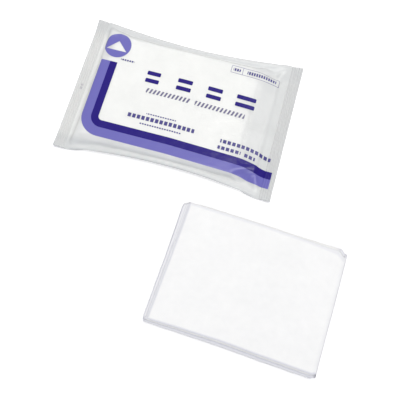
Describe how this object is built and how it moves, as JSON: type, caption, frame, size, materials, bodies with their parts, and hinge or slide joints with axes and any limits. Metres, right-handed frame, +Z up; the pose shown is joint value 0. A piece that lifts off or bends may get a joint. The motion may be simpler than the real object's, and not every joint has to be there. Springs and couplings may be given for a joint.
{
  "type": "triangular bandage arm sling set",
  "caption": "Folded triangular cotton bandage for an arm sling, lying beside an identical one sealed in a clear flow-wrapped packet.",
  "frame": {"origin": "under the centre of the whole set's bounding box, on the table", "axes": "+X along the packet's long side towards its empty end, +Y away from the loose bandage towards the packet, +Z up from the table"},
  "size_m": [0.3346, 0.325, 0.0112],
  "materials": {
    "cotton": "bleached plain-woven cotton sheeting, matte",
    "clear_film": "clear polypropylene film, glossy",
    "crimped_film": "two walls of clear film crimped together in ribs"
  },
  "bodies": {
    "packet": {"packet_front_film": "clear_film", "packet_back_film": "clear_film", "packet_fin_seal": "crimped_film", "packet_left_end_seal": "crimped_film", "packet_right_end_seal": "crimped_film", "packed_lower_leaf_outer_panels": "cotton", "packed_lower_leaf_inner_panels": "cotton", "packed_upper_leaf_inner_panels": "cotton", "packed_upper_leaf_outer_panels": "cotton", "packed_fold_spine": "cotton"},
    "bandage_lower_leaf": {"loose_lower_leaf_outer_panels": "cotton", "loose_lower_leaf_inner_panels": "cotton", "loose_fold_spine": "cotton"},
    "bandage_upper_leaf": {"loose_upper_leaf_inner_panels": "cotton", "loose_upper_leaf_outer_panels": "cotton"}
  },
  "joints": [
    {"name": "bandage_lift_off", "type": "slide", "parent": "packet", "child": "bandage_lower_leaf", "axis": [0, 0, 1], "range_m": [0, 0.1]},
    {"name": "upper_leaf_unfold", "type": "hinge", "parent": "bandage_lower_leaf", "child": "bandage_upper_leaf", "pos_m": [0.16116, -0.09716, 0.00357], "axis": [0.0489, 0.9988, 0], "range_deg": [0, 179.5], "deforming": ["loose_fold_spine"]}
  ]
}
